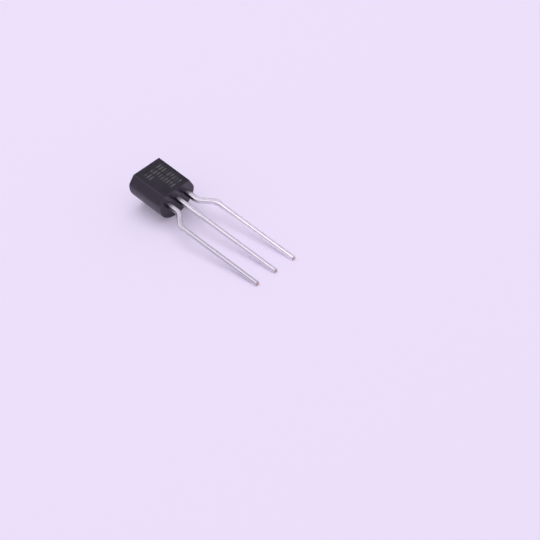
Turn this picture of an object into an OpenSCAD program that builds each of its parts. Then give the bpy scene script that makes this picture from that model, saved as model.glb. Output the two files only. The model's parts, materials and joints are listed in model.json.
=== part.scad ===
// Three-lead shunt voltage regulator in a half-round moulded package, lying on its round back.
// Each piece is drawn in the package's own axes, then turned into the resting pose:
// x runs across the leads, y from the lead end (0) to the far end, z from the parting line to the flat.

/* [Moulded body] */
// Width of the body at its parting line
body_w = 4.6; // [4.3:0.05:5.2]
// Length of the body along the leads
body_l = 4.7; // [4.3:0.05:5.3]
// Depth of the front half, from the parting line to the flat
front_depth = 1.1; // [1:0.05:1.5]
// Width of the flat marked face
flat_w = 3.54; // [3.3:0.02:4]
// Height of the straight flank between the parting line and the round back
flank_h = 0.3; // [0.1:0.01:0.4]
// Draft of the front half's ends, in degrees
front_draft = 6; // [2:0.5:8]
// Draft of the back half's ends, in degrees
back_draft = 3.5; // [2:0.5:8]
// Radius on the edges of the flat and on the rims of the round back
edge_r = 0.07; // [0.04:0.01:0.2]
// Diameter of the ejector pin's mark in the round back
ejector_d = 1.2; // [0.8:0.1:1.6]
// Depth of the ejector pin's mark at its rim
ejector_depth = 0.04; // [0.02:0.01:0.1]

/* [Leads] */
// Spacing of the leads where they leave the body
lead_pitch = 1.27; // [1.2:0.01:1.35]
// Spacing of the leads after the outer two are spread
formed_pitch = 2.5; // [2.2:0.05:2.9]
// Width of a lead
lead_w = 0.45; // [0.36:0.01:0.5]
// Thickness of the stamped lead frame
lead_t = 0.38; // [0.33:0.01:0.45]
// Distance from the body to the lead tips
lead_reach = 14; // [10:0.5:20]
// Width of the shoulder, which runs from the body through the bends
shoulder_w = 0.58; // [0.51:0.01:0.65]
// Straight length between the body and the first bend
stem_l = 1.2; // [0.9:0.05:1.6]
// Length over which the shoulder narrows to the lead, below the bends
taper_l = 0.2; // [0.1:0.05:0.4]
// Angle at which the outer leads are spread, in degrees
bend_angle = 40; // [30:1:50]
// Centre-line radius of the bends
bend_r = 1; // [0.6:0.05:1.2]

/* [Lead frame in the body] */
// Moulding compound left outside the bonding posts
mould_cover = 0.35; // [0.25:0.05:0.5]
// Distance from the lead end to the bonding posts
post_inset = 0.55; // [0.45:0.05:0.7]
// Length of a bonding post
post_l = 0.7; // [0.5:0.05:0.9]
// Gap between the bonding posts and the paddle
frame_gap = 0.25; // [0.2:0.05:0.4]
// Width of the paddle
paddle_w = 1.7; // [1.4:0.1:2.2]
// Length of the paddle
paddle_l = 1.9; // [1.8:0.1:2.2]

/* [Chip] */
// Width of the chip
die_w = 0.9; // [0.7:0.05:1.1]
// Length of the chip
die_l = 0.9; // [0.7:0.05:1]
// Thickness of the chip
die_t = 0.22; // [0.15:0.01:0.3]
// Thickness of the bond layer under the chip
attach_t = 0.03; // [0.02:0.005:0.05]
// How far the bond layer spreads beyond the chip
attach_margin = 0.06; // [0.03:0.01:0.1]
// Distance from the chip's edges to the middle of a bond pad
pad_inset = 0.15; // [0.1:0.01:0.2]

/* [Bond wires] */
// Diameter of a bond wire
wire_d = 0.05; // [0.03:0.005:0.06]
// Diameter of the ball at the chip
ball_d = 0.11; // [0.08:0.01:0.14]
// Height of the ball at the chip
ball_h = 0.035; // [0.02:0.005:0.05]
// Straight rise of the wire above its ball
wire_rise = 0.1; // [0.05:0.01:0.2]
// Radius of the loop at the top of the rise
loop_r = 0.15; // [0.1:0.01:0.2]

/* [Hidden] */
$fn = 96;
// Steps in a rounded corner of an outline
corner_steps = 8;
// Steps in a bend of a lead
bend_steps = 12;
// Steps in the loop of a bond wire, and sides of the wire
loop_steps = 8;
wire_sides = 8;
// Room by which a cutting shape overshoots what it cuts
overshoot = 1;

back_r = body_w / 2;
back_depth = flank_h + back_r;
front_run = front_depth * tan(front_draft);
back_run = back_depth * tan(back_draft);
ejector_sag = back_r - sqrt(back_r * back_r - ejector_d * ejector_d / 4);

// Side view of the body: lead end's parting point, then round by the back to the far end and the flat
parting_lead = [0, 0];
rim_lead = [back_run, -back_depth];
rim_far = [body_l - back_run, -back_depth];
parting_far = [body_l, 0];
flat_far = [body_l - front_run, front_depth];
flat_lead = [front_run, front_depth];

// The spread of the outer leads
spread = formed_pitch - lead_pitch;
bend_side = bend_r * (1 - cos(bend_angle));
slant_l = (spread - 2 * bend_side) / sin(bend_angle);
bend_end = stem_l + 2 * bend_r * sin(bend_angle) + slant_l * cos(bend_angle);
shoulder_end = bend_end + taper_l;

// The lead frame in the body
post_inner = lead_pitch - shoulder_w / 2;
post_outer = body_w / 2 - mould_cover;
post_y = post_inset + post_l / 2;
post_x = (post_inner + post_outer) / 2;
paddle_y = post_inset + post_l + frame_gap;
paddle_end = paddle_y + paddle_l;

// The chip and its pads
die_y = paddle_y + paddle_l / 2;
die_top = attach_t + die_t;
pad_x = die_w / 2 - pad_inset;
pad_dy = die_l / 2 - pad_inset;
down_bond_y = (die_y + die_l / 2 + attach_margin + paddle_end) / 2;

// Resting pose: the back's rim at the lead end and the lead tips touch the ground
rim_centre = corner_centre(parting_lead, rim_lead, rim_far, edge_r);
tip = [-lead_reach, -lead_t];
tip_to_rim = rim_centre - tip;
rest_tilt = atan2(-tip_to_rim.y, tip_to_rim.x) + asin(edge_r / norm(tip_to_rim));
rest_lift = -across_tilt(tip);
far_centre = corner_centre(rim_lead, rim_far, parting_far, edge_r);
far_reach = max(along_tilt(parting_far), along_tilt(far_centre) + edge_r);
tip_reach = along_tilt([-lead_reach, 0]);
rest_shift = -(far_reach + tip_reach) / 2;

body_colour = "#2c2a2d";
lead_colour = "#d8d5d6";
die_colour = "#5d6470";
attach_colour = "#b4b6ba";
wire_colour = "#d3a53c";

// Place of a side-view point along and across the ground once the part has been tilted to rest
function along_tilt(p) = p.x * cos(rest_tilt) - p.y * sin(rest_tilt);
function across_tilt(p) = p.x * sin(rest_tilt) + p.y * cos(rest_tilt);

function unit(v) = v / norm(v);

// Half of the angle inside the corner a, b, c
function half_angle(a, b, c) = acos(unit(a - b) * unit(c - b)) / 2;

// Centre of the arc of radius r that rounds the corner a, b, c
function corner_centre(a, b, c, r) =
    b + unit(unit(a - b) + unit(c - b)) * r / sin(half_angle(a, b, c));

// Points on that arc, for an outline that runs anticlockwise
function corner_arc(a, b, c, r) =
    let (
        centre = corner_centre(a, b, c, r),
        start = b + unit(a - b) * r / tan(half_angle(a, b, c)) - centre,
        from = atan2(start.y, start.x),
        sweep = 180 - 2 * half_angle(a, b, c)
    )
    [for (i = [0 : corner_steps]) centre + r * unit_at(from + sweep * i / corner_steps)];

function unit_at(angle) = [cos(angle), sin(angle)];

// Turns a piece from the package's axes into the resting pose
module at_rest() {
    translate([0, rest_shift, rest_lift])
        rotate([rest_tilt, 0, 0])
            children();
}

// Cross-section of the body: slanted front half with a flat, straight flanks and a half-round back
module body_section() {
    left = [-body_w / 2, 0];
    right = [body_w / 2, 0];
    flat_left = [-flat_w / 2, front_depth];
    flat_right = [flat_w / 2, front_depth];
    polygon(concat(
        [[-body_w / 2, -flank_h], [body_w / 2, -flank_h], right],
        corner_arc(right, flat_right, flat_left, edge_r),
        corner_arc(flat_right, flat_left, left, edge_r),
        [left]
    ));
    intersection() {
        translate([0, -flank_h])
            circle(back_r);
        translate([-body_w / 2, -back_depth])
            square([body_w, back_r]);
    }
}

// Side view of the body: both halves drafted away from the parting line, with rounded rims
module body_side() {
    polygon(concat(
        [parting_lead],
        corner_arc(parting_lead, rim_lead, rim_far, edge_r),
        corner_arc(rim_lead, rim_far, parting_far, edge_r),
        [parting_far],
        corner_arc(parting_far, flat_far, flat_lead, edge_r),
        corner_arc(flat_far, flat_lead, parting_lead, edge_r)
    ));
}

// Outer form of the body, with the ejector pin's mark in its back
module moulding() {
    difference() {
        intersection() {
            translate([0, body_l, 0])
                rotate([90, 0, 0])
                    linear_extrude(body_l)
                        body_section();
            rotate([90, 0, 90])
                linear_extrude(body_w + 2 * overshoot, center = true)
                    body_side();
        }
        translate([0, body_l / 2, -back_depth - overshoot])
            cylinder(d = ejector_d, h = overshoot + ejector_sag + ejector_depth);
    }
}

// Flat stamping from an outline, with its front face on the parting line
module stamped() {
    translate([0, 0, -lead_t])
        linear_extrude(lead_t)
            children();
}

// Points on an arc of the lead's plane, from one angle to another
function bend_arc(centre, r, from, to) =
    [for (i = [0 : bend_steps]) centre + r * unit_at(from + (to - from) * i / bend_steps)];

// Outer lead on the +x side: post, shoulder with its two bends and slanted run, and straight end.
// The outline runs down the side that faces the centre lead and back up the other side.
module spread_lead() {
    first_bend = [lead_pitch + bend_r, -stem_l];
    return_bend = [formed_pitch - bend_r, -bend_end];
    near_r = bend_r - shoulder_w / 2;
    far_r = bend_r + shoulder_w / 2;
    stamped()
        polygon(concat(
            [[post_inner, post_inset + post_l]],
            bend_arc(first_bend, far_r, 180, 180 + bend_angle),
            bend_arc(return_bend, near_r, bend_angle, 0),
            [
                [formed_pitch - lead_w / 2, -shoulder_end],
                [formed_pitch - lead_w / 2, -lead_reach],
                [formed_pitch + lead_w / 2, -lead_reach],
                [formed_pitch + lead_w / 2, -shoulder_end]
            ],
            bend_arc(return_bend, far_r, 0, bend_angle),
            bend_arc(first_bend, near_r, 180 + bend_angle, 180),
            [
                [lead_pitch + shoulder_w / 2, post_inset],
                [post_outer, post_inset],
                [post_outer, post_inset + post_l]
            ]
        ));
}

// Centre lead: straight from its tip to the shoulder, with the paddle on its inner end
module paddle_lead() {
    half = [
        [lead_w / 2, -lead_reach],
        [lead_w / 2, -shoulder_end],
        [shoulder_w / 2, -bend_end],
        [shoulder_w / 2, paddle_y],
        [paddle_w / 2, paddle_y],
        [paddle_w / 2, paddle_end]
    ];
    last = len(half) - 1;
    stamped()
        polygon(concat(half, [for (i = [0 : last]) [-half[last - i].x, half[last - i].y]]));
}

module chip() {
    translate([-die_w / 2, die_y - die_l / 2, attach_t])
        cube([die_w, die_l, die_t]);
}

module chip_bond() {
    attach_w = die_w + 2 * attach_margin;
    attach_l = die_l + 2 * attach_margin;
    translate([-attach_w / 2, die_y - attach_l / 2, 0])
        cube([attach_w, attach_l, attach_t]);
}

// Ring of wire points about a place in the wire's own upright plane, square to a heading below level
function wire_ring(place, fall, r) =
    [for (k = [0 : wire_sides - 1])
        let (turn = 360 * (k + 0.5) / wire_sides)
        [
            place.x + r * cos(turn) * sin(fall),
            r * sin(turn),
            place.y + r * cos(turn) * cos(fall)
        ]];

// The same ring carried on along its heading until it lies flat on the lead frame
function landing_ring(place, fall, r) =
    [for (p = wire_ring(place, fall, r)) [p.x + p.z / tan(fall), p.y, 0]];

// Bond wire from a ball on the chip, up, over its loop and straight down to the lead frame
module bond_wire(pad, foot) {
    run = foot - pad;
    span = norm(run);
    ball_top = die_top + ball_h;
    loop_z = ball_top + wire_rise;
    reach = [span - loop_r, loop_z];
    fall = atan2(reach.y, reach.x) + asin(loop_r / norm(reach));
    upright = -90;
    loop_end = [loop_r * (1 + sin(fall)), loop_z + loop_r * cos(fall)];
    rings = concat(
        [
            wire_ring([0, die_top], upright, ball_d / 2),
            wire_ring([0, ball_top], upright, ball_d / 2),
            wire_ring([0, ball_top], upright, wire_d / 2)
        ],
        [for (i = [0 : loop_steps])
            let (heading = upright + (fall - upright) * i / loop_steps)
            wire_ring([loop_r * (1 + sin(heading)), loop_z + loop_r * cos(heading)], heading, wire_d / 2)],
        [landing_ring(loop_end, fall, wire_d / 2)]
    );
    last = len(rings) - 1;
    sides = [for (j = [0 : last - 1], k = [0 : wire_sides - 1])
        let (next = (k + 1) % wire_sides)
        [
            j * wire_sides + k,
            j * wire_sides + next,
            (j + 1) * wire_sides + next,
            (j + 1) * wire_sides + k
        ]];
    first_cap = [for (k = [0 : wire_sides - 1]) wire_sides - 1 - k];
    last_cap = [for (k = [0 : wire_sides - 1]) last * wire_sides + k];
    translate([pad.x, pad.y, 0])
        rotate([0, 0, atan2(run.y, run.x)])
            polyhedron([for (ring = rings) each ring], concat([first_cap], sides, [last_cap]));
}

// Wire from a pad on the +x side of the chip to the post on that side
module post_wire() {
    bond_wire([pad_x, die_y - pad_dy], [post_x, post_y]);
}

// Wire from the pad at the chip's far edge down to the paddle
module down_wire() {
    bond_wire([0, die_y + pad_dy], [0, down_bond_y]);
}

// Everything that the body is cast around
module cast_in() {
    for (side = [0, 1])
        mirror([side, 0, 0]) {
            spread_lead();
            post_wire();
        }
    paddle_lead();
    chip_bond();
    chip();
    down_wire();
}

module moulded_body() {
    color(body_colour)
        at_rest()
            difference() {
                moulding();
                cast_in();
            }
}

module reference_lead() {
    color(lead_colour)
        at_rest()
            mirror([1, 0, 0])
                spread_lead();
}

module anode_lead() {
    color(lead_colour)
        at_rest()
            paddle_lead();
}

module cathode_lead() {
    color(lead_colour)
        at_rest()
            spread_lead();
}

module regulator_die() {
    color(die_colour)
        at_rest()
            chip();
}

module die_attach() {
    color(attach_colour)
        at_rest()
            chip_bond();
}

module reference_bond_wire() {
    color(wire_colour)
        at_rest()
            mirror([1, 0, 0])
                post_wire();
}

module anode_bond_wire() {
    color(wire_colour)
        at_rest()
            down_wire();
}

module cathode_bond_wire() {
    color(wire_colour)
        at_rest()
            post_wire();
}

moulded_body();
reference_lead();
anode_lead();
cathode_lead();
regulator_die();
die_attach();
reference_bond_wire();
anode_bond_wire();
cathode_bond_wire();
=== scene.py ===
"""Looks of a three-lead shunt voltage regulator in a half-round moulded package.

Every piece is modelled in millimetres in the package's own axes: x runs across the leads, y from the
lead end of the body to its far end, and z from the parting line to the flat face. A finished piece is
then laid down in the resting pose, in metres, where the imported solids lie.
"""

import json
import logging
import math
from collections.abc import Callable, Iterator
from contextlib import contextmanager
from dataclasses import dataclass, field
from enum import Enum

import bmesh
import bpy
from mathutils import Matrix, Vector

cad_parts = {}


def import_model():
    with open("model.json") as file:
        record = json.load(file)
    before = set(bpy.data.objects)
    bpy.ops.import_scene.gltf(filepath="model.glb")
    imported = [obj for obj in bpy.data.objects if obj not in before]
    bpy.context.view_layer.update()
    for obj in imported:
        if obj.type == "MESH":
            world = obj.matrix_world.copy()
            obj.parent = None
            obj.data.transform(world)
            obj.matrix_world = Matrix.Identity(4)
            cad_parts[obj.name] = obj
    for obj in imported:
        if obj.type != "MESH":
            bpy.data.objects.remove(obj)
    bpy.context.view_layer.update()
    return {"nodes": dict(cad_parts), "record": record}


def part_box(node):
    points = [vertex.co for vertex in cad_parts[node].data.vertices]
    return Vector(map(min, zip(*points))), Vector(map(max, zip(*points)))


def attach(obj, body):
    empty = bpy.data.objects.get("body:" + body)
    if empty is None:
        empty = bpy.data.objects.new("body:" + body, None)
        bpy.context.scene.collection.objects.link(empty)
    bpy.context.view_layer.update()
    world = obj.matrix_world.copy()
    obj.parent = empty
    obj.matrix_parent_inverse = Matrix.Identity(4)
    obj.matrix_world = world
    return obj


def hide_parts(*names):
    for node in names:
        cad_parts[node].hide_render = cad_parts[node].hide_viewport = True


LOG = logging.getLogger("regulator")

MM = 0.001
ROOT = "root"
NOISE_RANGE = (0.3, 0.7)

Colour = tuple[float, float, float]
Point = tuple[float, float, float]
Range = tuple[float, float]
Piece = bpy.types.Object
Material = bpy.types.Material
Socket = bpy.types.NodeSocket


class Node(Enum):
    """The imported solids, by name."""

    BODY = "moulded_body"
    REFERENCE_LEAD = "reference_lead"
    ANODE_LEAD = "anode_lead"
    CATHODE_LEAD = "cathode_lead"
    DIE = "regulator_die"
    DIE_ATTACH = "die_attach"
    REFERENCE_WIRE = "reference_bond_wire"
    ANODE_WIRE = "anode_bond_wire"
    CATHODE_WIRE = "cathode_bond_wire"


class Slot(Enum):
    """The record's material slots."""

    MOULDING_COMPOUND = "moulding_compound"
    TINNED_LEAD = "tinned_lead"
    SILICON = "silicon"
    SILVER_EPOXY = "silver_epoxy"
    GOLD_WIRE = "gold_wire"


class Side(Enum):
    """Side of the centre lead on which an outer lead stands, as a sign along x."""

    REFERENCE = -1
    CATHODE = 1


class Pick(Enum):
    """Kinds of mesh element that a selection in edit mode is made of."""

    VERTS = "VERT"
    EDGES = "EDGE"


@dataclass(frozen=True)
class RestPose:
    """How the package lies: tipped up about x until its lead tips touch the ground.

    The tilt is in radians, and the shift along y and the lift along z are in metres.
    """

    tilt: float
    shift: float
    lift: float

    @classmethod
    def from_frame(cls, record: dict, reach: float, thickness: float) -> "RestPose":
        """Work the pose out from the flat face's direction and the centre lead's tip.

        Args:
            record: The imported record.
            reach: Distance from the body to the lead tips, in millimetres.
            thickness: Thickness of the leads, in millimetres.

        Returns:
            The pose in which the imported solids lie.
        """
        face = next(m for m in record["mounts"] if m["name"] == "marked_face")
        tilt = math.atan2(-face["axis"][1], face["axis"][2])
        tip_low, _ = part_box(Node.ANODE_LEAD.value)
        shift = tip_low.y + MM * reach * math.cos(tilt)
        lift = tip_low.z + MM * (reach * math.sin(tilt) + thickness * math.cos(tilt))
        return cls(tilt, shift, lift)

    def turn(self) -> Matrix:
        """Rotation from the package's axes into the resting pose."""
        return Matrix.Rotation(self.tilt, 4, "X")

    def matrix(self) -> Matrix:
        """Full transform from the package's axes in millimetres to the resting pose in metres."""
        return Matrix.Translation((0.0, self.shift, self.lift)) @ self.turn() @ Matrix.Scale(MM, 4)


def deselect() -> None:
    """Deselect every object, so that the next operator acts on one piece alone."""
    bpy.ops.object.select_all(action="DESELECT")


class Bench:
    """Modelling steps that the pieces share, each done with Blender's own operators.

    Two points closer than TOUCH are the same, and edges that turn more than SHARP degrees are shaded sharp.
    """

    TOUCH = 1e-4
    SHARP = 35.0
    LARGE_FACES_FIRST = 100

    def __init__(self, pose: RestPose) -> None:
        """Keep the pose that finished pieces are laid down in."""
        self.pose = pose

    def start(self, add: Callable[..., set], name: str, low: Point, high: Point) -> Piece:
        """Start a piece from a primitive that is stretched between two corners.

        Args:
            add: Blender's operator that adds the primitive.
            name: Name of the piece.
            low: Lowest corner.
            high: Highest corner, on the same level for a flat piece.

        Returns:
            The new piece, with its place in its mesh.
        """
        deselect()
        add(size=1)
        piece = bpy.context.active_object
        piece.name = piece.data.name = name
        piece.location = (Vector(low) + Vector(high)) / 2
        piece.scale = [side or 1.0 for side in Vector(high) - Vector(low)]
        bpy.ops.object.transform_apply()
        return piece

    @contextmanager
    def editing(self, piece: Piece) -> Iterator[None]:
        """Hold a piece in edit mode while its mesh is shaped.

        Args:
            piece: The piece to shape.

        Returns:
            A context that leaves edit mode again.
        """
        bpy.context.view_layer.objects.active = piece
        bpy.ops.object.mode_set(mode="EDIT")
        yield
        bpy.ops.object.mode_set(mode="OBJECT")

    def pick(self, kind: Pick, test: Callable[..., bool]) -> None:
        """Select the elements of the mesh in edit mode that pass a test, and no others.

        Args:
            kind: Kind of element to select.
            test: Says of one element whether it is selected.
        """
        mesh = bpy.context.edit_object.data
        bpy.ops.mesh.select_mode(type=kind.value)
        bpy.ops.mesh.select_all(action="DESELECT")
        work = bmesh.from_edit_mesh(mesh)
        for element in work.verts if kind is Pick.VERTS else work.edges:
            if test(element):
                element.select_set(True)
        work.select_flush_mode()
        bmesh.update_edit_mesh(mesh)

    def pick_level(self, level: float) -> None:
        """Select the vertices that lie on one level along z."""
        self.pick(Pick.VERTS, lambda vert: abs(vert.co.z - level) < self.TOUCH)

    def pick_edges(self, low: Point, high: Point) -> None:
        """Select the edges that lie inside a box.

        Args:
            low: Lowest corner of the box.
            high: Highest corner of the box.
        """
        near = self.TOUCH
        self.pick(
            Pick.EDGES,
            lambda edge: all(
                low[i] - near < vert.co[i] < high[i] + near for vert in edge.verts for i in range(3)
            ),
        )

    def ease(self, level: float, radius: float, segments: int, test: Callable[..., bool]) -> None:
        """Round the edges on one level along z that pass a test.

        Args:
            level: The level.
            radius: Radius of the rounding.
            segments: Number of strips across it.
            test: Says of one edge on the level whether it is rounded.
        """
        self.pick(
            Pick.EDGES,
            lambda edge: all(abs(vert.co.z - level) < self.TOUCH for vert in edge.verts) and test(edge),
        )
        bpy.ops.mesh.bevel(offset=radius, segments=segments, affect="EDGES", clamp_overlap=False)

    def cut_level(self, level: float) -> None:
        """Cut a level ring of edges into the piece in edit mode."""
        bpy.ops.mesh.select_all(action="SELECT")
        bpy.ops.mesh.bisect(plane_co=(0.0, 0.0, level), plane_no=(0.0, 0.0, 1.0))

    def pull(self, run: Point | Vector) -> None:
        """Extrude what is selected along a run."""
        bpy.ops.mesh.extrude_region_move(TRANSFORM_OT_translate={"value": run})

    def close_up(self) -> None:
        """Merge doubles, drop empty faces and turn all faces outwards, in edit mode."""
        bpy.ops.mesh.select_all(action="SELECT")
        bpy.ops.mesh.remove_doubles(threshold=self.TOUCH)
        bpy.ops.mesh.dissolve_degenerate(threshold=self.TOUCH)
        bpy.ops.mesh.select_all(action="SELECT")
        bpy.ops.mesh.normals_make_consistent(inside=False)

    def modify(self, piece: Piece, kind: str, **settings: object) -> None:
        """Add a modifier to a piece and apply it.

        Args:
            piece: The piece to modify.
            kind: Blender's name for the kind of modifier.
            settings: The modifier's settings.
        """
        modifier = piece.modifiers.new(kind.lower(), kind)
        for name, value in settings.items():
            setattr(modifier, name, value)
        bpy.context.view_layer.objects.active = piece
        bpy.ops.object.modifier_apply(modifier=modifier.name)

    def lay_down(self, piece: Piece) -> Piece:
        """Shade a piece smoothly, and move its mesh into the resting pose, in metres.

        Args:
            piece: The piece.

        Returns:
            The finished piece.
        """
        deselect()
        piece.select_set(True)
        bpy.context.view_layer.objects.active = piece
        bpy.ops.object.shade_smooth_by_angle(angle=math.radians(self.SHARP))
        self.modify(piece, "WEIGHTED_NORMAL", keep_sharp=True, weight=self.LARGE_FACES_FIRST)
        piece.matrix_world = self.pose.matrix()
        bpy.ops.object.transform_apply()
        return piece


class Sheet:
    """A shader's node tree, with short calls that place and join its nodes."""

    def __init__(self, tree: bpy.types.NodeTree) -> None:
        """Keep the tree that the nodes go into."""
        self.tree = tree

    def feed(self, socket: Socket, value: object) -> None:
        """Join a socket to another one, or set it to a plain value.

        Args:
            socket: The socket to feed.
            value: The other socket, or the value.
        """
        if isinstance(value, Socket):
            self.tree.links.new(value, socket)
        elif isinstance(value, tuple) and socket.type == "RGBA" and len(value) == 3:
            socket.default_value = (*value, 1.0)
        else:
            socket.default_value = value

    def place(self, kind: str, inputs: dict | None = None, **settings: object) -> bpy.types.Node:
        """Place a node.

        Args:
            kind: Blender's name for the kind of node, without its ShaderNode prefix.
            inputs: Values or sockets for the node's inputs, by name or number.
            settings: The node's own settings.

        Returns:
            The new node.
        """
        node = self.tree.nodes.new("ShaderNode" + kind)
        for name, value in settings.items():
            setattr(node, name, value)
        for name, value in (inputs or {}).items():
            self.feed(node.inputs[name], value)
        return node

    def math(self, operation: str, first: object, second: object = 0.0) -> Socket:
        """Join two values by an operation, by Blender's name for it."""
        return self.place("Math", {0: first, 1: second}, operation=operation).outputs[0]

    def gap(self, first: object, second: object) -> Socket:
        """Distance between two values."""
        return self.math("ABSOLUTE", self.math("SUBTRACT", first, second))

    def span(
        self, value: Socket, low: float, high: float, to_low: object = 0.0, to_high: object = 1.0
    ) -> Socket:
        """Carry a value from one range to another, held at the ends."""
        inputs = {"Value": value, "From Min": low, "From Max": high, "To Min": to_low, "To Max": to_high}
        return self.place("MapRange", inputs).outputs["Result"]

    def mix(self, factor: Socket, first: object, second: object, blend: str = "MIX") -> Socket:
        """Mix two colours, from the first at a factor of 0 to the second at 1."""
        inputs = {0: factor, 6: first, 7: second}
        return self.place("Mix", inputs, data_type="RGBA", blend_type=blend).outputs[2]

    def tint(self, factor: Socket, colour: Socket, by: Colour) -> Socket:
        """Multiply a colour by another one where a mask says so."""
        return self.mix(factor, colour, by, "MULTIPLY")

    def noise(self, vector: Socket, scale: object, detail: float) -> Socket:
        """Even noise between 0 and 1."""
        return self.place("TexNoise", {"Vector": vector, "Scale": scale, "Detail": detail}).outputs[0]

    def split(self, vector: Socket) -> bpy.types.NodeOutputs:
        """Split a vector into its parts along X, Y and Z."""
        return self.place("SeparateXYZ", {"Vector": vector}).outputs


class Effects:
    """Surface effects that more than one finish uses, each built once as a node group."""

    COARSE_DETAIL = 3.0
    FINE_DETAIL = 2.0
    FINER = 2.7
    FINE_SHARE = 0.5
    BLOTCH_DETAIL = 4.0
    BLOTCH_RANGE = (0.32, 0.68)

    def __init__(self, pose: RestPose) -> None:
        """Build the groups.

        Args:
            pose: The pose that the pieces lie in.
        """
        self.pose = pose
        self.grain = self._grain()
        self.blotches = self._blotches()

    def _start(
        self, name: str, inputs: list[str], outputs: list[str]
    ) -> tuple[Sheet, bpy.types.NodeOutputs, bpy.types.NodeInputs]:
        """Start a group with its named sockets, which are all values but the vector.

        Args:
            name: Name of the group.
            inputs: Names of its inputs.
            outputs: Names of its outputs.

        Returns:
            The group's sheet, the sockets that give its inputs and those that take its outputs.
        """
        tree = bpy.data.node_groups.new(name, "ShaderNodeTree")
        for socket in inputs:
            kind = "NodeSocketVector" if socket == "Vector" else "NodeSocketFloat"
            tree.interface.new_socket(socket, in_out="INPUT", socket_type=kind)
        for socket in outputs:
            tree.interface.new_socket(socket, in_out="OUTPUT", socket_type="NodeSocketFloat")
        given = tree.nodes.new("NodeGroupInput").outputs
        return Sheet(tree), given, tree.nodes.new("NodeGroupOutput").inputs

    def _grain(self) -> bpy.types.NodeTree:
        """Fine grain: an even speckle, and the height of the tiny pits and bumps that make it.

        Returns:
            The group's tree.
        """
        sheet, given, result = self._start("fine_grain", ["Vector", "Scale"], ["Tone", "Height"])
        coarse = sheet.noise(given["Vector"], given["Scale"], self.COARSE_DETAIL)
        finer = sheet.math("MULTIPLY", given["Scale"], self.FINER)
        fine = sheet.noise(given["Vector"], finer, self.FINE_DETAIL)
        sheet.feed(result["Tone"], sheet.span(coarse, *NOISE_RANGE))
        sheet.feed(result["Height"], sheet.math("ADD", coarse, sheet.math("MULTIPLY", fine, self.FINE_SHARE)))
        return sheet.tree

    def _blotches(self) -> bpy.types.NodeTree:
        """Soft blotches: a value that drifts between two limits over the surface.

        Returns:
            The group's tree.
        """
        sheet, given, result = self._start("soft_blotches", ["Vector", "Scale", "Low", "High"], ["Value"])
        noise = sheet.noise(given["Vector"], given["Scale"], self.BLOTCH_DETAIL)
        sheet.feed(result["Value"], sheet.span(noise, *self.BLOTCH_RANGE, given["Low"], given["High"]))
        return sheet.tree


def new_material(name: str) -> Material:
    """Start a material with its Principled shader.

    Args:
        name: Name of the material.

    Returns:
        The material.
    """
    material = bpy.data.materials.new(name)
    material.use_nodes = True
    return material


def dress(piece: Piece, material: Material) -> None:
    """Give a piece one material all over."""
    piece.data.materials.clear()
    piece.data.materials.append(material)


@dataclass(frozen=True)
class Finish:
    """What every finish has: grain, a roughness that drifts between two limits, relief and a share of metal.

    The relief is the height of the grain in millimetres.
    """

    grain_per_mm: float
    drift_per_mm: float
    roughness: Range
    relief: float
    metal: float = 0.0


class Surface(Sheet):
    """The nodes of one finish's material, with the package's coordinates and the shared effects in them."""

    def __init__(self, finish: Finish, slot: Slot, effects: Effects) -> None:
        """Start the material with what every finish has, in the package's own axes and in millimetres.

        Args:
            finish: The finish that it gives.
            slot: The record's slot that it is named after.
            effects: The shared effects.
        """
        self.material = new_material(slot.value)
        super().__init__(self.material.node_tree)
        self.shader = self.tree.nodes["Principled BSDF"].inputs
        self.finish = finish
        pose = effects.pose
        lying = {
            "Vector": self.place("TexCoord").outputs["Object"],
            "Location": (0.0, pose.shift, pose.lift),
            "Rotation": (pose.tilt, 0.0, 0.0),
            "Scale": (MM, MM, MM),
        }
        self.spot = self.place("Mapping", lying, vector_type="TEXTURE").outputs["Vector"]
        grain = {"Vector": self.spot, "Scale": finish.grain_per_mm}
        self.grain = self.place("Group", grain, node_tree=effects.grain).outputs
        low, high = finish.roughness
        drift = {"Vector": self.spot, "Scale": finish.drift_per_mm, "Low": low, "High": high}
        self.drift = self.place("Group", drift, node_tree=effects.blotches).outputs["Value"]

    def close(
        self, colour: Socket, roughness: Socket | None = None, height: Socket | None = None
    ) -> Material:
        """Feed the shader what changes over the surface, and set its share of metal.

        Args:
            colour: The colour.
            roughness: The roughness, where it is more than its drift.
            height: Height of the relief, where it is more than the grain's.

        Returns:
            The finished material.
        """
        height = self.grain["Height"] if height is None else height
        relief = {"Strength": 1.0, "Distance": self.finish.relief * MM, "Height": height}
        self.feed(self.shader["Base Color"], colour)
        self.feed(self.shader["Roughness"], self.drift if roughness is None else roughness)
        self.feed(self.shader["Normal"], self.place("Bump", relief).outputs["Normal"])
        self.shader["Metallic"].default_value = self.finish.metal
        return self.material


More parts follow.
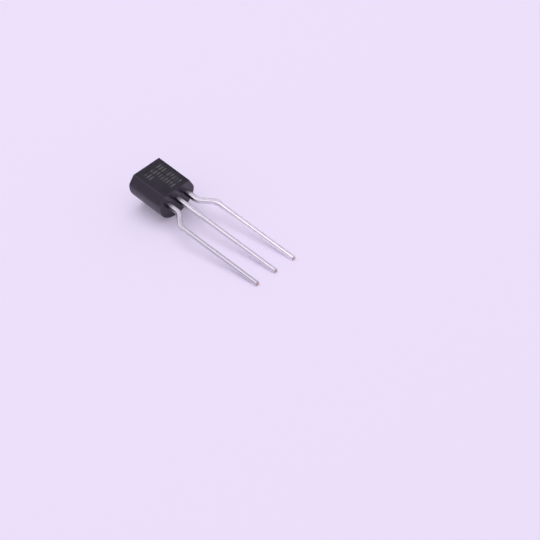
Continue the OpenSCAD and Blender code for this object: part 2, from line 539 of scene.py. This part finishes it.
@dataclass(frozen=True)
class MouldingFinish(Finish):
    """Black moulding compound, satin from a spark-eroded mould.

    The front half and, more strongly, the flat are darkened by painted shade, the flat with a violet cast.
    The flat is smoother and carries rows of etched strokes. The lead end is polished in front of the parting
    line and lightened there by painted light, for reflections of the floor and leads, and darkened behind it
    by painted shade between the leads. A fade is where a tint sets in, measured down from the flat, to both
    sides of the parting line, or along the body.
    """

    grain_per_mm: float = 13.0
    drift_per_mm: float = 0.8
    roughness: Range = (0.36, 0.46)
    relief: float = 0.0022
    dark: Colour = (0.025, 0.0185, 0.0325)
    light: Colour = (0.036, 0.0268, 0.0465)
    filler: Colour = (0.075, 0.07, 0.078)
    # Painted shade on the flat, darkening the top face and giving it a violet cast.
    flat_painted_shade: Colour = (0.1, 0.08, 0.25)
    # Painted shade on the front half, above the parting line.
    front_painted_shade: Colour = (0.55, 0.45, 0.6)
    # Painted light on the front half of the lead end, standing in for reflections of the floor and leads.
    front_end_painted_light: Colour = (2.2, 2.7, 2.0)
    # Painted shade on the back half of the lead end, between the leads.
    back_end_painted_shade: Colour = (0.4, 0.4, 0.4)
    etched: Colour = (0.07, 0.068, 0.067)
    flat_fade: Range = (0.05, 0.005)
    parting_fade: float = 0.05
    end_fade: Range = (0.2, 0.13)
    filler_per_mm: float = 9.0
    filler_edge: Range = (0.1, 0.22)
    filler_share: float = 0.2
    speckle_roughness: float = 0.04
    flat_polish: float = 0.2
    end_polish: float = 0.3
    etched_roughness: float = 0.6
    etched_depth: float = 1.5
    refraction: float = 1.55
    stroke_width: float = 0.2
    stroke_height: float = 0.66
    stroke_pitch: float = 0.37
    stroke_edge: Range = (0.35, 0.6)
    strokes: int = 9
    short_row_start: int = 6
    faintest: float = 0.1
    full_from: float = 0.6
    row_pitch: float = 0.84
    rows: int = 3
    marks_middle: tuple[float, float] = (0.05, 2.2)

    def make(self, effects: Effects, flat_level: float) -> Material:
        """Build the material.

        Args:
            effects: The shared effects.
            flat_level: Height of the flat above the parting line.

        Returns:
            The material.
        """
        sheet = Surface(self, Slot.MOULDING_COMPOUND, effects)
        tone = sheet.grain["Tone"]
        axes = sheet.split(sheet.spot)
        flat = sheet.span(axes["Z"], *(flat_level - depth for depth in self.flat_fade))
        front = sheet.span(axes["Z"], -self.parting_fade, self.parting_fade)
        lead_end = sheet.span(axes["Y"], *self.end_fade)
        front_end = sheet.math("MULTIPLY", lead_end, front)
        back_end = sheet.math("SUBTRACT", lead_end, front_end)
        etched = sheet.math("MULTIPLY", flat, self._strokes(sheet))
        colour = sheet.mix(tone, self.dark, self.light)
        colour = sheet.mix(self._filler(sheet), colour, self.filler)
        # Painted shade on the flat, the front half and the back of the lead end; painted light on the front
        # of the lead end.
        ends = ((front_end, self.front_end_painted_light), (back_end, self.back_end_painted_shade))
        for mask, tint in ((front, self.front_painted_shade), (flat, self.flat_painted_shade), *ends):
            colour = sheet.tint(mask, colour, tint)
        colour = sheet.mix(etched, colour, self.etched)
        speckle = sheet.span(tone, 0.0, 1.0, -self.speckle_roughness, self.speckle_roughness)
        roughness = sheet.math("ADD", sheet.drift, speckle)
        for mask, polish in ((flat, self.flat_polish), (front_end, self.end_polish)):
            roughness = sheet.math("SUBTRACT", roughness, sheet.math("MULTIPLY", mask, polish))
        roughness = sheet.math("MAXIMUM", roughness, sheet.math("MULTIPLY", etched, self.etched_roughness))
        sunk = sheet.math("MULTIPLY", etched, self.etched_depth)
        sheet.shader["IOR"].default_value = self.refraction
        return sheet.close(colour, roughness, sheet.math("SUBTRACT", sheet.grain["Height"], sunk))

    def _filler(self, sheet: Surface) -> Socket:
        """Mask of the odd grain of pale filler that shows in the surface.

        Args:
            sheet: The material's nodes.

        Returns:
            The mask's socket.
        """
        cells = sheet.place("TexVoronoi", {"Vector": sheet.spot, "Scale": self.filler_per_mm}).outputs
        near = sheet.span(cells["Distance"], *self.filler_edge, 1.0, 0.0)
        shade = sheet.place("SeparateColor", {"Color": cells["Color"]}).outputs[0]
        return sheet.math("MULTIPLY", near, sheet.math("LESS_THAN", shade, self.filler_share))

    def _strokes(self, sheet: Surface) -> Socket:
        """Mask of plain etched strokes of uneven strength, in rows along the body, the first one short.

        Args:
            sheet: The material's nodes.

        Returns:
            The mask's socket.
        """
        x, y = self.marks_middle
        corner = (x - self.rows * self.row_pitch / 2, y - self.strokes * self.stroke_pitch / 2, 0.0)
        inputs = {"Vector": sheet.spot, "Location": corner, "Scale": (self.row_pitch, self.stroke_pitch, 1.0)}
        cells = sheet.place("Mapping", inputs, vector_type="TEXTURE").outputs["Vector"]
        halves = sheet.place("VectorMath", {0: cells, 1: (2.0, 1.0, 1.0)}, operation="MULTIPLY").outputs[0]
        half = sheet.place("VectorMath", {0: halves}, operation="FLOOR").outputs[0]
        strength = sheet.place("TexWhiteNoise", {"Vector": half}).outputs["Value"]
        mask = sheet.span(strength, 0.0, self.full_from, self.faintest, 1.0)
        whole = sheet.split(cells)
        part = sheet.split(sheet.place("VectorMath", {0: cells}, operation="FRACTION").outputs[0])
        across = self.stroke_height / self.row_pitch
        along = self.stroke_width / self.stroke_pitch
        for axis, count, share in (("X", self.rows, across), ("Y", self.strokes, along)):
            edge = (share * end for end in self.stroke_edge)
            within = sheet.span(sheet.gap(part[axis], 0.5), *edge, 1.0, 0.0)
            on_row = sheet.math("LESS_THAN", sheet.gap(whole[axis], count / 2), count / 2)
            mask = sheet.math("MULTIPLY", sheet.math("MULTIPLY", mask, within), on_row)
        later_row = sheet.math("GREATER_THAN", whole["X"], 1.0)
        kept = sheet.math("MAXIMUM", later_row, sheet.math("GREATER_THAN", whole["Y"], self.short_row_start))
        return sheet.math("MULTIPLY", mask, kept)


@dataclass(frozen=True)
class TinFinish(Finish):
    """Tin plate over drawn copper alloy.

    It is bare at the cut tips. Painted shade darkens the leads towards the reference lead, for the weaker
    reflection their tops catch. Painted shade and dark reflection of the body darken the sides of the leads
    next to it, full out to one point along the leads and gone at another.
    """

    grain_per_mm: float = 9.0
    drift_per_mm: float = 1.6
    roughness: Range = (0.26, 0.34)
    relief: float = 0.0006
    metal: float = 1.0
    bright: Colour = (0.92, 0.91, 0.905)
    dull: Colour = (0.83, 0.82, 0.825)
    # Painted shade that darkens the leads towards the reference lead.
    reference_painted_shade: Colour = (0.75, 0.75, 0.76)
    frame_half: float = 2.5
    # Painted shade and dark reflection of the body on the lead sides next to it, with its extent along the
    # leads.
    root_painted_shade: Colour = (0.12, 0.12, 0.13)
    root_shade_end: float = -1.9
    root_shade_full: float = -0.8
    root_shade_waver: float = 0.2
    sideways: Range = (0.1, 0.6)
    bare: Colour = (0.62, 0.45, 0.34)
    bare_depth: float = 0.004
    lines_across_per_mm: float = 26.0
    lines_along_per_mm: float = 0.6
    line_detail: float = 3.0
    line_tone: Range = (0.35, 0.65)
    line_roughness: float = 0.05
    grain_share: float = 0.4

    def make(self, effects: Effects, reach: float) -> Material:
        """Build the material.

        Args:
            effects: The shared effects.
            reach: Distance from the body to the lead tips.

        Returns:
            The material.
        """
        sheet = Surface(self, Slot.TINNED_LEAD, effects)
        stretch = (self.lines_across_per_mm, self.lines_along_per_mm, self.lines_across_per_mm)
        along = sheet.place("Mapping", {"Vector": sheet.spot, "Scale": stretch}).outputs["Vector"]
        lines = sheet.noise(along, 1.0, self.line_detail)
        axes = sheet.split(sheet.spot)
        tone = sheet.math("MULTIPLY", sheet.grain["Tone"], sheet.span(lines, *self.line_tone))
        colour = sheet.mix(tone, self.bright, self.dull)
        # Painted shade: the leads darken towards the reference lead, for the weaker reflection on their tops.
        reference_shade = sheet.span(axes["X"], self.frame_half, -self.frame_half)
        colour = sheet.tint(reference_shade, colour, self.reference_painted_shade)
        # Painted shade and dark reflection of the body on the lead sides next to it.
        colour = sheet.tint(self._root_shade(sheet, axes["Y"], lines), colour, self.root_painted_shade)
        cut = sheet.math("LESS_THAN", axes["Y"], self.bare_depth - reach)
        colour = sheet.mix(cut, colour, self.bare)
        streaks = sheet.span(lines, *NOISE_RANGE, -self.line_roughness, self.line_roughness)
        specks = sheet.math("MULTIPLY", sheet.grain["Height"], self.grain_share)
        return sheet.close(
            colour, sheet.math("ADD", sheet.drift, streaks), sheet.math("ADD", lines, specks)
        )

    def _root_shade(self, sheet: Surface, along: Socket, lines: Socket) -> Socket:
        """Mask of painted shade and dark reflection of the body on the lead sides next to it, on faces that
        look sideways.

        Args:
            sheet: The material's nodes.
            along: Place along the leads.
            lines: Noise of the drawing lines, which the painted shade's end wavers with.

        Returns:
            The mask's socket.
        """
        facing = sheet.split(sheet.place("TexCoord").outputs["Normal"])["X"]
        sides = sheet.span(sheet.math("ABSOLUTE", facing), *self.sideways)
        waver = sheet.span(lines, *NOISE_RANGE, -self.root_shade_waver, self.root_shade_waver)
        near = sheet.span(sheet.math("ADD", along, waver), self.root_shade_end, self.root_shade_full)
        return sheet.math("MULTIPLY", sides, near)


@dataclass(frozen=True)
class SiliconFinish(Finish):
    """Polished silicon with a faint grid of circuit blocks on its top and three pale bond pads."""

    grain_per_mm: float = 40.0
    drift_per_mm: float = 3.0
    roughness: Range = (0.12, 0.24)
    relief: float = 0.0002
    metal: float = 0.5
    silicon: Colour = (0.05, 0.056, 0.07)
    circuit: Colour = (0.13, 0.12, 0.17)
    seam: Colour = (0.03, 0.033, 0.04)
    pad: Colour = (0.7, 0.7, 0.71)
    circuit_depth: float = 0.005
    block_width: float = 0.16
    block_length: float = 0.09
    seam_width: float = 0.008
    pad_half: float = 0.07

    def make(self, effects: Effects, top: float, pads: list[tuple[float, float]]) -> Material:
        """Build the material.

        Args:
            effects: The shared effects.
            top: Height of the chip's top above the parting line.
            pads: Middles of the bond pads.

        Returns:
            The material.
        """
        sheet = Surface(self, Slot.SILICON, effects)
        axes = sheet.split(sheet.spot)
        on_top = sheet.math("GREATER_THAN", axes["Z"], top - self.circuit_depth)
        grid = {
            "Vector": sheet.spot,
            "Color1": self.silicon,
            "Color2": self.circuit,
            "Mortar": self.seam,
            "Scale": 1.0,
            "Mortar Size": self.seam_width,
            "Brick Width": self.block_width,
            "Row Height": self.block_length,
        }
        colour = sheet.mix(on_top, self.silicon, sheet.place("TexBrick", grid).outputs["Color"])
        for x, y in pads:
            far = sheet.math("MAXIMUM", sheet.gap(axes["X"], x), sheet.gap(axes["Y"], y))
            pad = sheet.math("MULTIPLY", on_top, sheet.math("LESS_THAN", far, self.pad_half))
            colour = sheet.mix(pad, colour, self.pad)
        return sheet.close(colour)


@dataclass(frozen=True)
class SilverEpoxyFinish(Finish):
    """Silver-filled epoxy under the chip: grey paste with bright flakes in it."""

    grain_per_mm: float = 25.0
    drift_per_mm: float = 4.0
    roughness: Range = (0.4, 0.6)
    relief: float = 0.003
    metal: float = 0.8
    paste: Colour = (0.42, 0.42, 0.43)
    flake: Colour = (0.8, 0.8, 0.8)
    flakes_per_mm: float = 30.0

    def make(self, effects: Effects) -> Material:
        """Build the material.

        Args:
            effects: The shared effects.

        Returns:
            The material.
        """
        sheet = Surface(self, Slot.SILVER_EPOXY, effects)
        cells = sheet.place("TexVoronoi", {"Vector": sheet.spot, "Scale": self.flakes_per_mm}).outputs
        shade = sheet.place("SeparateColor", {"Color": cells["Color"]}).outputs[0]
        return sheet.close(sheet.mix(shade, self.paste, self.flake))


@dataclass(frozen=True)
class GoldFinish(Finish):
    """Drawn gold bond wire: warm and bright, with a fine grain of duller spots."""

    grain_per_mm: float = 45.0
    drift_per_mm: float = 8.0
    roughness: Range = (0.16, 0.3)
    relief: float = 0.0004
    metal: float = 1.0
    bright: Colour = (0.94, 0.66, 0.24)
    dull: Colour = (0.8, 0.54, 0.2)

    def make(self, effects: Effects) -> Material:
        """Build the material."""
        sheet = Surface(self, Slot.GOLD_WIRE, effects)
        return sheet.close(sheet.mix(sheet.grain["Tone"], self.bright, self.dull))


@dataclass
class MouldedBody:
    """The black body: a slanted front half with a flat, and a half-round back, both drafted.

    The drafts and the turn from which an edge is rounded are in degrees.
    """

    bench: Bench
    width: float = 4.6
    length: float = 4.7
    front_depth: float = 1.1
    flat_width: float = 3.54
    flank_height: float = 0.3
    front_draft: float = 6.0
    back_draft: float = 3.5
    edge_radius: float = 0.07
    edge_segments: int = 5
    edge_turn: float = 40.0
    back_segments: int = 28
    parting_ease: float = 0.22
    parting_segments: int = 6
    flash_height: float = 0.012
    flash_half_width: float = 0.03
    ejector_diameter: float = 1.2
    ejector_depth: float = 0.04
    ejector_sides: int = 64
    ejector_run: float = 1.0
    finish: MouldingFinish = field(default_factory=MouldingFinish)

    @property
    def back_radius(self) -> float:
        """Radius of the half-round back."""
        return self.width / 2

    @property
    def back_depth(self) -> float:
        """Depth of the back half, from the parting line to the lowest line of the back."""
        return self.flank_height + self.back_radius

    def build(self) -> Piece:
        """Model the body and lay it down.

        Returns:
            The finished piece.
        """
        low = (-self.width / 2, 0.0, -self.back_depth)
        high = (self.width / 2, self.length, self.front_depth)
        body = self.bench.start(bpy.ops.mesh.primitive_cube_add, "moulded_package", low, high)
        with self.bench.editing(body):
            self.bench.cut_level(0.0)
            self._draft()
            self._round_back()
            self.bench.ease(0.0, self.parting_ease, self.parting_segments, lambda edge: True)
        self.bench.modify(
            body,
            "BEVEL",
            width=self.edge_radius,
            segments=self.edge_segments,
            limit_method="ANGLE",
            angle_limit=math.radians(self.edge_turn),
            use_clamp_overlap=False,
            miter_outer="MITER_ARC",
        )
        with self.bench.editing(body):
            self._raise_flash()
        self._sink_ejector_mark(body)
        return self.bench.lay_down(body)

    def _draft(self) -> None:
        """Draw the ends of both halves in from the parting line, and the front's sides in to the flat."""
        halves = (
            (self.front_depth, self.front_draft, self.flat_width / self.width),
            (-self.back_depth, self.back_draft, 1.0),
        )
        for level, draft, across in halves:
            along = 1.0 - 2.0 * abs(level) * math.tan(math.radians(draft)) / self.length
            self.bench.pick_level(level)
            middle = (0.0, self.length / 2, level)
            bpy.ops.transform.resize(value=(across, along, 1.0), center_override=middle)

    def _round_back(self) -> None:
        """Round the two long lower edges until they meet in a half-round back."""

        def runs_along(edge: bmesh.types.BMEdge) -> bool:
            """Whether an edge runs along the body."""
            return abs(edge.verts[0].co.x - edge.verts[1].co.x) < self.bench.TOUCH

        self.bench.ease(-self.back_depth, self.back_radius, self.back_segments, runs_along)
        self.bench.close_up()

    def _raise_flash(self) -> None:
        """Raise the fine line of flash that the two mould halves leave at the parting line."""
        for level in (self.flash_half_width, 0.0, -self.flash_half_width):
            self.bench.cut_level(level)
        self.bench.pick_level(0.0)
        bpy.ops.transform.shrink_fatten(value=self.flash_height)

    def _sink_ejector_mark(self, body: Piece) -> None:
        """Cut the ejector pin's shallow round mark into the back.

        Args:
            body: The body.
        """
        radius = self.ejector_diameter / 2
        sag = self.back_radius - math.sqrt(self.back_radius**2 - radius**2)
        height = self.ejector_run + sag + self.ejector_depth
        middle = (0.0, self.length / 2, -self.back_depth - self.ejector_run + height / 2)
        deselect()
        bpy.ops.mesh.primitive_cylinder_add(
            vertices=self.ejector_sides, radius=radius, depth=height, location=middle
        )
        pin = bpy.context.active_object
        bpy.ops.object.transform_apply()
        self.bench.modify(body, "BOOLEAN", operation="DIFFERENCE", object=pin, solver="EXACT")
        bpy.data.objects.remove(pin)

    def dress(self, piece: Piece, effects: Effects) -> None:
        """Give the body its finish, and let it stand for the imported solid.

        Args:
            piece: The body.
            effects: The shared effects.
        """
        dress(piece, self.finish.make(effects, self.front_depth))
        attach(piece, ROOT)
        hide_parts(Node.BODY.value)


@dataclass
class LeadFrame:
    """The three stamped leads: two spread outer ones with bonding posts, and a centre one with the paddle.

    The punch rolls the edges of the front face over, and leaves those of the back face sharper. The angle
    of the bends and the turn from which a rim is rounded are in degrees.
    """

    bench: Bench
    pitch: float = 1.27
    formed_pitch: float = 2.5
    width: float = 0.45
    thickness: float = 0.38
    reach: float = 14.0
    shoulder_width: float = 0.58
    stem_length: float = 1.2
    taper_length: float = 0.2
    bend_angle: float = 40.0
    bend_radius: float = 1.0
    bend_steps: int = 12
    post_inset: float = 0.55
    post_length: float = 0.7
    post_outer: float = 1.95
    paddle_start: float = 1.5
    paddle_width: float = 1.7
    paddle_length: float = 1.9
    roll_radius: float = 0.14
    roll_segments: int = 5
    burr_radius: float = 0.03
    burr_segments: int = 2
    rim_turn: float = 60.0
    finish: TinFinish = field(default_factory=TinFinish)

    @property
    def bend(self) -> float:
        """Angle of the bends, in radians."""
        return math.radians(self.bend_angle)

    @property
    def slant_length(self) -> float:
        """Length of the straight slanted run between the bends of an outer lead."""
        bend_side = self.bend_radius * (1.0 - math.cos(self.bend))
        return (self.formed_pitch - self.pitch - 2.0 * bend_side) / math.sin(self.bend)

    @property
    def bend_end(self) -> float:
        """Distance from the body to the end of the return bend."""
        bends = 2.0 * self.bend_radius * math.sin(self.bend)
        return self.stem_length + bends + self.slant_length * math.cos(self.bend)

    def build_spread_lead(self, name: str, side: Side) -> Piece:
        """Model an outer lead: post, shoulder with its two bends and slanted run, and straight end.

        Args:
            name: Name of the piece.
            side: Side of the centre lead that it stands on.

        Returns:
            The finished piece.
        """
        sign = side.value
        slant = Vector((sign * math.sin(self.bend), -math.cos(self.bend), 0.0)) * self.slant_length
        lead = self._shoulder(name, sign * self.pitch, -self.stem_length, self.post_inset)
        with self.bench.editing(lead):
            self._pick_end(-self.stem_length)
            first = sign * (self.pitch + self.bend_radius)
            self._turn(sign * self.bend, (first, -self.stem_length, 0.0))
            self.bench.pull(slant)
            second = sign * (self.formed_pitch - self.bend_radius)
            self._turn(-sign * self.bend, (second, -self.bend_end, 0.0))
            self._draw_out(sign * self.formed_pitch)
            self._pick_end(self.post_inset)
            self.bench.pull((0.0, self.post_length, 0.0))
            shoulder_side = sign * (self.pitch + self.shoulder_width / 2)
            self._pick_side(shoulder_side, self.post_inset, self.post_inset + self.post_length)
            self.bench.pull((sign * self.post_outer - shoulder_side, 0.0, 0.0))
        return self._stamp(lead)

    def build_paddle_lead(self, name: str) -> Piece:
        """Model the centre lead: straight from its tip to the shoulder, with the paddle on its inner end.

        Args:
            name: Name of the piece.

        Returns:
            The finished piece.
        """
        lead = self._shoulder(name, 0.0, -self.bend_end, self.paddle_start)
        paddle_end = self.paddle_start + self.paddle_length
        wing = (self.paddle_width - self.shoulder_width) / 2
        with self.bench.editing(lead):
            self._pick_end(-self.bend_end)
            self._draw_out(0.0)
            self._pick_end(self.paddle_start)
            self.bench.pull((0.0, self.paddle_length, 0.0))
            for sign in (-1.0, 1.0):
                self._pick_side(sign * self.shoulder_width / 2, self.paddle_start, paddle_end)
                self.bench.pull((sign * wing, 0.0, 0.0))
        return self._stamp(lead)

    def _shoulder(self, name: str, x: float, outer: float, inner: float) -> Piece:
        """Start a lead from its shoulder's straight outline, between two levels."""
        low, high = ((x + side * self.shoulder_width / 2, y, 0.0) for side, y in ((-1, outer), (1, inner)))
        return self.bench.start(bpy.ops.mesh.primitive_plane_add, name, low, high)

    def _draw_out(self, x: float) -> None:
        """Narrow the selected end of the shoulder to the lead's own width, and carry it on to the tip.

        Args:
            x: Middle of the lead below its shoulder.
        """
        taper_end = self.bend_end + self.taper_length
        self.bench.pull((0.0, -self.taper_length, 0.0))
        narrow = self.width / self.shoulder_width
        bpy.ops.transform.resize(value=(narrow, 1.0, 1.0), center_override=(x, -taper_end, 0.0))
        self.bench.pull((0.0, taper_end - self.reach, 0.0))

    def _turn(self, angle: float, centre: Point) -> None:
        """Carry the selected end of the lead round a bend, anticlockwise for a positive angle."""
        bpy.ops.mesh.spin(steps=self.bend_steps, angle=-angle, center=centre, axis=(0.0, 0.0, 1.0))

    def _pick_end(self, y: float) -> None:
        """Select the edges across the lead at one level along it."""
        half = self.formed_pitch + self.shoulder_width
        self.bench.pick_edges((-half, y, 0.0), (half, y, 0.0))

    def _pick_side(self, x: float, low: float, high: float) -> None:
        """Select the edge along one side of the lead, between two levels."""
        self.bench.pick_edges((x, low, 0.0), (x, high, 0.0))

    def _stamp(self, lead: Piece) -> Piece:
        """Give a lead's outline its thickness and rounded rims, and lay it down.

        Args:
            lead: The lead's flat outline.

        Returns:
            The finished piece.
        """

        def on_rim(edge: bmesh.types.BMEdge) -> bool:
            """Whether a face turns into a side at an edge."""
            return edge.calc_face_angle(0.0) > math.radians(self.rim_turn)

        with self.bench.editing(lead):
            self.bench.close_up()
        if lead.data.polygons[0].normal.z < 0.0:
            with self.bench.editing(lead):
                bpy.ops.mesh.select_all(action="SELECT")
                bpy.ops.mesh.flip_normals()
        self.bench.modify(lead, "SOLIDIFY", thickness=self.thickness, offset=-1.0)
        with self.bench.editing(lead):
            self.bench.ease(0.0, self.roll_radius, self.roll_segments, on_rim)
            self.bench.ease(-self.thickness, self.burr_radius, self.burr_segments, on_rim)
        return self.bench.lay_down(lead)

    def dress(self, pieces: dict[Node, Piece], effects: Effects) -> None:
        """Give the leads their finish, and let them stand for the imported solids.

        Args:
            pieces: The leads, by the solid that each stands for.
            effects: The shared effects.
        """
        material = self.finish.make(effects, self.reach)
        for node, piece in pieces.items():
            dress(piece, material)
            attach(piece, ROOT)
            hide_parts(node.value)


@dataclass
class Chip:
    """The chip, its bond layer and its bond wires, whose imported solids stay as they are."""

    middle: float = 2.45
    width: float = 0.9
    length: float = 0.9
    top: float = 0.25
    pad_inset: float = 0.15
    silicon: SiliconFinish = field(default_factory=SiliconFinish)
    epoxy: SilverEpoxyFinish = field(default_factory=SilverEpoxyFinish)
    gold: GoldFinish = field(default_factory=GoldFinish)

    def pads(self) -> list[tuple[float, float]]:
        """Middles of the bond pads: one for each outer lead, and one for the paddle."""
        x, run = (side / 2 - self.pad_inset for side in (self.width, self.length))
        return [(-x, self.middle - run), (x, self.middle - run), (0.0, self.middle + run)]

    def dress(self, nodes: dict[str, Piece], effects: Effects) -> None:
        """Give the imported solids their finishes.

        Args:
            nodes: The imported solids, by name.
            effects: The shared effects.
        """
        dress(nodes[Node.DIE.value], self.silicon.make(effects, self.top, self.pads()))
        dress(nodes[Node.DIE_ATTACH.value], self.epoxy.make(effects))
        gold = self.gold.make(effects)
        for node in (Node.REFERENCE_WIRE, Node.ANODE_WIRE, Node.CATHODE_WIRE):
            dress(nodes[node.value], gold)


@dataclass(frozen=True)
class ViewPoint:
    """The camera, placed in the package's own axes: angles in degrees, lengths in millimetres.

    The clip range is in metres.
    """

    heading: float = 44.996
    descent: float = 46.428
    roll: float = 0.618
    distance: float = 363.436
    aim: Point = (1.274, -11.934, -2.55)
    focal_pixels: float = 3659.3
    image_pixels: float = 540.0
    sensor: float = 36.0
    clip: Range = (0.01, 20.0)

    def build(self, pose: RestPose) -> None:
        """Set the camera up.

        Args:
            pose: The pose that the part lies in.
        """
        heading, descent, roll = (math.radians(a) for a in (self.heading, self.descent, self.roll))
        level = Matrix.Rotation(heading - math.pi / 2, 4, "Z")
        turn = level @ Matrix.Rotation(math.pi / 2 - descent, 4, "X") @ Matrix.Rotation(roll, 4, "Z")
        data = bpy.data.cameras.new("camera")
        data.sensor_width = self.sensor
        data.lens = self.focal_pixels * self.sensor / self.image_pixels
        data.clip_start, data.clip_end = self.clip
        camera = bpy.data.objects.new("camera", data)
        place = pose.matrix() @ (Vector(self.aim) + turn @ Vector((0.0, 0.0, self.distance)))
        camera.matrix_world = Matrix.Translation(place) @ pose.turn() @ turn
        bpy.context.scene.collection.objects.link(camera)
        bpy.context.scene.camera = camera


@dataclass
class Studio:
    """A plain pale floor under a soft sky and one square soft lamp, the key, that points at the part.

    The sky rises from its level at the horizon to that overhead between two heights of its direction. The
    lamp's azimuth is measured from +x towards +y, lengths are in metres and angles in degrees. Its share is
    the part of full light that it gives level ground.
    """

    floor_size: float = 4.0
    floor_colour: Colour = (0.852, 0.766, 0.98)
    floor_glow: float = 0.2
    floor_roughness: float = 0.9
    floor_specular: float = 0.1
    backdrop: Colour = (0.84, 0.755, 0.97)
    sky: Colour = (1.0, 0.985, 1.0)
    horizon_level: float = 0.5
    overhead_level: float = 1.78
    sky_rise: Range = (0.78, 0.9)
    reflected_limit: float = 1.28
    key_azimuth: float = 82.0
    key_elevation: float = 62.0
    key_distance: float = 0.65
    key_size: float = 0.42
    key_share: float = 0.12

    def build(self) -> None:
        """Lay the floor, hang the lamp and light the world."""
        bpy.context.scene.view_settings.view_transform = "Standard"
        self._floor()
        self._key()
        self._world()

    def _key(self) -> None:
        """Hang the lamp, with the power that its share needs."""
        azimuth = math.radians(self.key_azimuth)
        elevation = math.radians(self.key_elevation)
        level = math.cos(elevation)
        way = Vector((level * math.cos(azimuth), level * math.sin(azimuth), math.sin(elevation)))
        lamp = bpy.data.lights.new("key", "AREA")
        lamp.size = self.key_size
        lamp.energy = self.key_share * (math.pi * self.key_distance) ** 2 / way.z
        holder = bpy.data.objects.new("key", lamp)
        holder.location = way * self.key_distance
        holder.rotation_euler = way.to_track_quat("Z", "Y").to_euler()
        holder.visible_camera = False
        bpy.context.scene.collection.objects.link(holder)

    def _floor(self) -> None:
        """Lay the floor."""
        deselect()
        bpy.ops.mesh.primitive_plane_add(size=self.floor_size)
        floor = bpy.context.active_object
        floor.name = "floor"
        material = new_material("floor")
        sheet = Sheet(material.node_tree)
        shader = sheet.tree.nodes["Principled BSDF"]
        sheet.feed(shader.inputs["Base Color"], self.floor_colour)
        shader.inputs["Roughness"].default_value = self.floor_roughness
        shader.inputs["Specular IOR Level"].default_value = self.floor_specular
        glow = sheet.place("Emission", {"Color": self.floor_colour})
        seen = sheet.math("MULTIPLY", self._seen(sheet), self.floor_glow)
        lit = sheet.place("MixShader", {0: seen, 1: shader.outputs["BSDF"], 2: glow.outputs["Emission"]})
        sheet.feed(sheet.tree.nodes["Material Output"].inputs["Surface"], lit.outputs["Shader"])
        dress(floor, material)

    def _seen(self, sheet: Sheet) -> Socket:
        """Mask of what the camera sees, directly, in a reflection or through glass.

        Args:
            sheet: The nodes that it goes into.

        Returns:
            The mask's socket.
        """
        path = sheet.place("LightPath").outputs
        beyond = sheet.math("MAXIMUM", path["Is Glossy Ray"], path["Is Transmission Ray"])
        return sheet.math("MAXIMUM", path["Is Camera Ray"], beyond)

    def _world(self) -> None:
        """Light the world from a sky that is dim at the horizon, and show it as a pale backdrop."""
        world = bpy.data.worlds.new("studio")
        world.use_nodes = True
        bpy.context.scene.world = world
        sheet = Sheet(world.node_tree)
        background = world.node_tree.nodes["Background"].inputs
        height = sheet.split(sheet.place("TexCoord").outputs["Generated"])["Z"]
        level = sheet.span(height, *self.sky_rise, self.horizon_level, self.overhead_level)
        seen = self._seen(sheet)
        level = sheet.span(seen, 0.0, 1.0, level, sheet.math("MINIMUM", level, self.reflected_limit))
        direct = sheet.place("LightPath").outputs["Is Camera Ray"]
        sheet.feed(background["Color"], sheet.mix(seen, self.sky, self.backdrop))
        sheet.feed(background["Strength"], sheet.math("MAXIMUM", level, direct))


def main() -> None:
    """Build the part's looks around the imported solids."""
    logging.basicConfig(level=logging.INFO, format="%(name)s: %(message)s")
    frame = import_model()
    deselect()

    pose = RestPose.from_frame(frame["record"], LeadFrame.reach, LeadFrame.thickness)
    effects = Effects(pose)
    bench = Bench(pose)
    body = MouldedBody(bench)
    leads = LeadFrame(bench)

    package = body.build()
    body.dress(package, effects)
    pieces = {
        Node.REFERENCE_LEAD: leads.build_spread_lead("reference_lead_formed", Side.REFERENCE),
        Node.ANODE_LEAD: leads.build_paddle_lead("anode_lead_formed"),
        Node.CATHODE_LEAD: leads.build_spread_lead("cathode_lead_formed", Side.CATHODE),
    }
    leads.dress(pieces, effects)
    for piece in (package, *pieces.values()):
        LOG.info("%s: %d faces", piece.name, len(piece.data.polygons))

    Chip().dress(frame["nodes"], effects)
    LOG.info("chip, bond layer and bond wires keep their packed solids")

    Studio().build()
    ViewPoint().build(pose)


if __name__ == "__main__":
    main()
